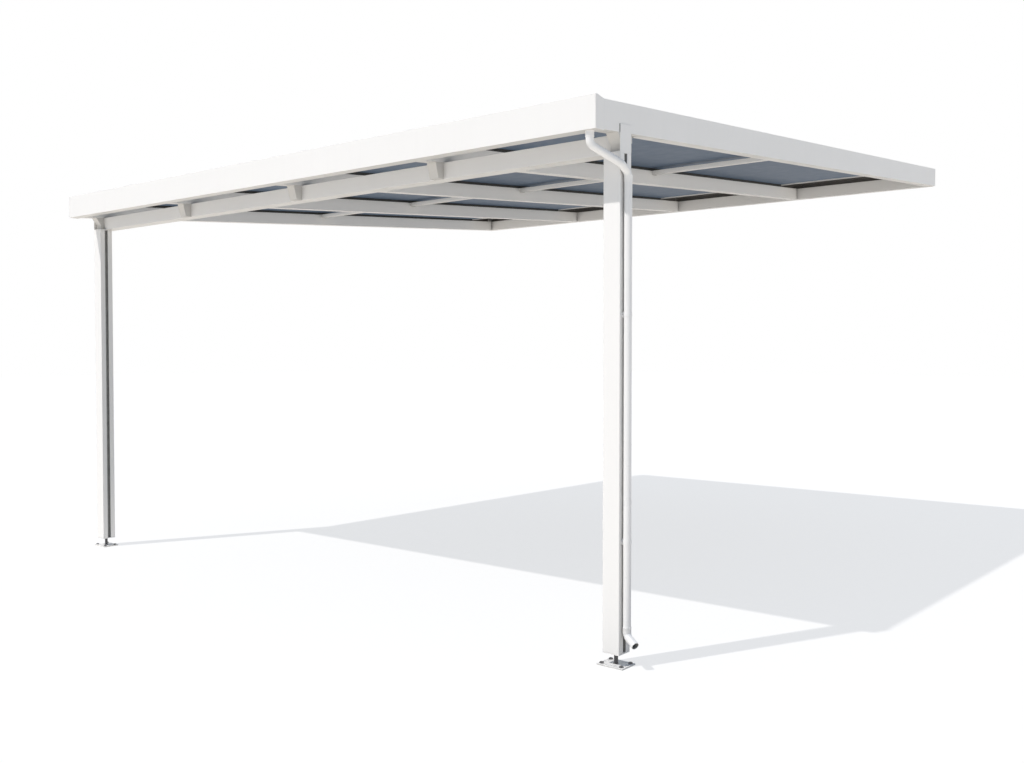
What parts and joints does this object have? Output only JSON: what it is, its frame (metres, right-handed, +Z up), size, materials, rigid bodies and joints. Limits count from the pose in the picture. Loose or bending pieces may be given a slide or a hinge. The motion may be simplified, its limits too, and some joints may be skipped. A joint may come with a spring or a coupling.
{
  "type": "lean-to patio cover",
  "caption": "Lean-to patio cover with a glazed sloping roof, a front gutter on posts with a girder, a downpipe, and a wall plate for a house wall.",
  "frame": {"origin": "centre of the wall plate's back face", "axes": "+X to the right as seen from the garden, +Y into the house wall, +Z up"},
  "size_m": [5.2123, 5.13, 3.1648],
  "materials": {
    "white_coating": "satin white powder coating",
    "smoky_panel": "smooth smoke-grey sheet",
    "gasket": "matt black",
    "dark_flashing": "matt dark grey coating",
    "stud_steel": "dull dark steel",
    "white_pipe": "smooth white plastic"
  },
  "bodies": {
    "root": {"base_plate_left": "white_coating", "base_plate_right": "white_coating", "downpipe": "white_pipe", "downpipe_shoe": "white_pipe", "end_rafter_left": "white_coating", "end_rafter_right": "white_coating", "foot_studs": "stud_steel", "girder": "white_coating", "girder_bracket_1": "white_coating", "girder_bracket_2": "white_coating", "girder_bracket_3": "white_coating", "girder_bracket_4": "white_coating", "girder_bracket_5": "white_coating", "glazing_caps": "white_coating", "glazing_gaskets": "gasket", "gutter": "white_coating", "gutter_end_left": "white_coating", "gutter_end_right": "white_coating", "outlet": "white_pipe", "panel_1": "smoky_panel", "panel_2": "smoky_panel", "panel_3": "smoky_panel", "panel_4": "smoky_panel", "panel_closers": "white_coating", "pipe_saddles": "white_pipe", "post_caps_left": "white_coating", "post_caps_right": "white_coating", "post_left": "white_coating", "post_right": "white_coating", "purlin_1": "white_coating", "purlin_2": "white_coating", "purlin_3": "white_coating", "purlin_4": "white_coating", "rafter_1": "white_coating", "rafter_2": "white_coating", "rafter_3": "white_coating", "rafter_connectors": "dark_flashing", "side_fascia_left": "white_coating", "side_fascia_right": "white_coating", "side_plate_left": "white_coating", "side_plate_right": "white_coating", "swan_neck": "white_pipe", "wall_flashing": "dark_flashing", "wall_plate": "white_coating"}
  },
  "joints": []
}
